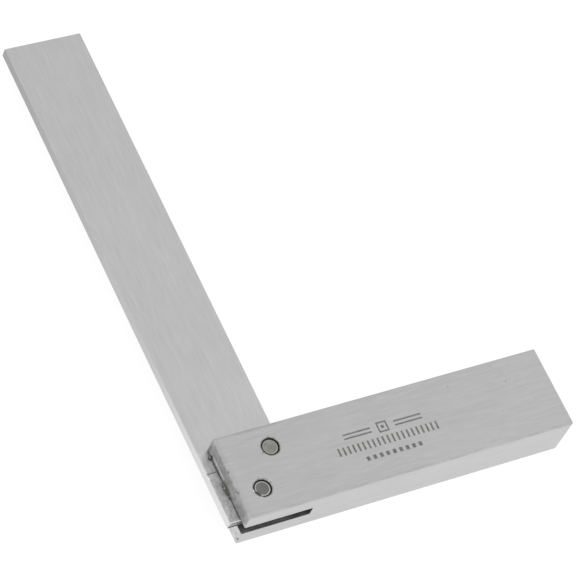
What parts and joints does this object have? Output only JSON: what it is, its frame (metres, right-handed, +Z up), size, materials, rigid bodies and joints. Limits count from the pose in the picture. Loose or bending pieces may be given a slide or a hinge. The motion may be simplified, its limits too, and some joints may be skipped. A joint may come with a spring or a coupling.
{
  "type": "engineer's square",
  "caption": "Fixed engineer's square: a thick ground stock, slotted at one end, and a thin ground blade pinned and bonded in the slot at a right angle.",
  "frame": {"origin": "middle of the whole square along X and Y, on the stock's underside, with the square lying flat", "axes": "+X along the stock to its free end, +Y along the blade to its tip, +Z up through the thickness"},
  "size_m": [0.0826, 0.125, 0.0115],
  "materials": {
    "stock_steel": "ground along the length, fine straight grain",
    "blade_steel": "ground along the length, faint straight grain",
    "pin_steel": "turned end faces, slightly dulled",
    "adhesive": "cured, dark and glossy"
  },
  "bodies": {
    "root": {"stock": "stock_steel", "blade": "blade_steel", "outer_pin": "pin_steel", "inner_pin": "pin_steel", "slot_adhesive": "adhesive"}
  },
  "joints": []
}
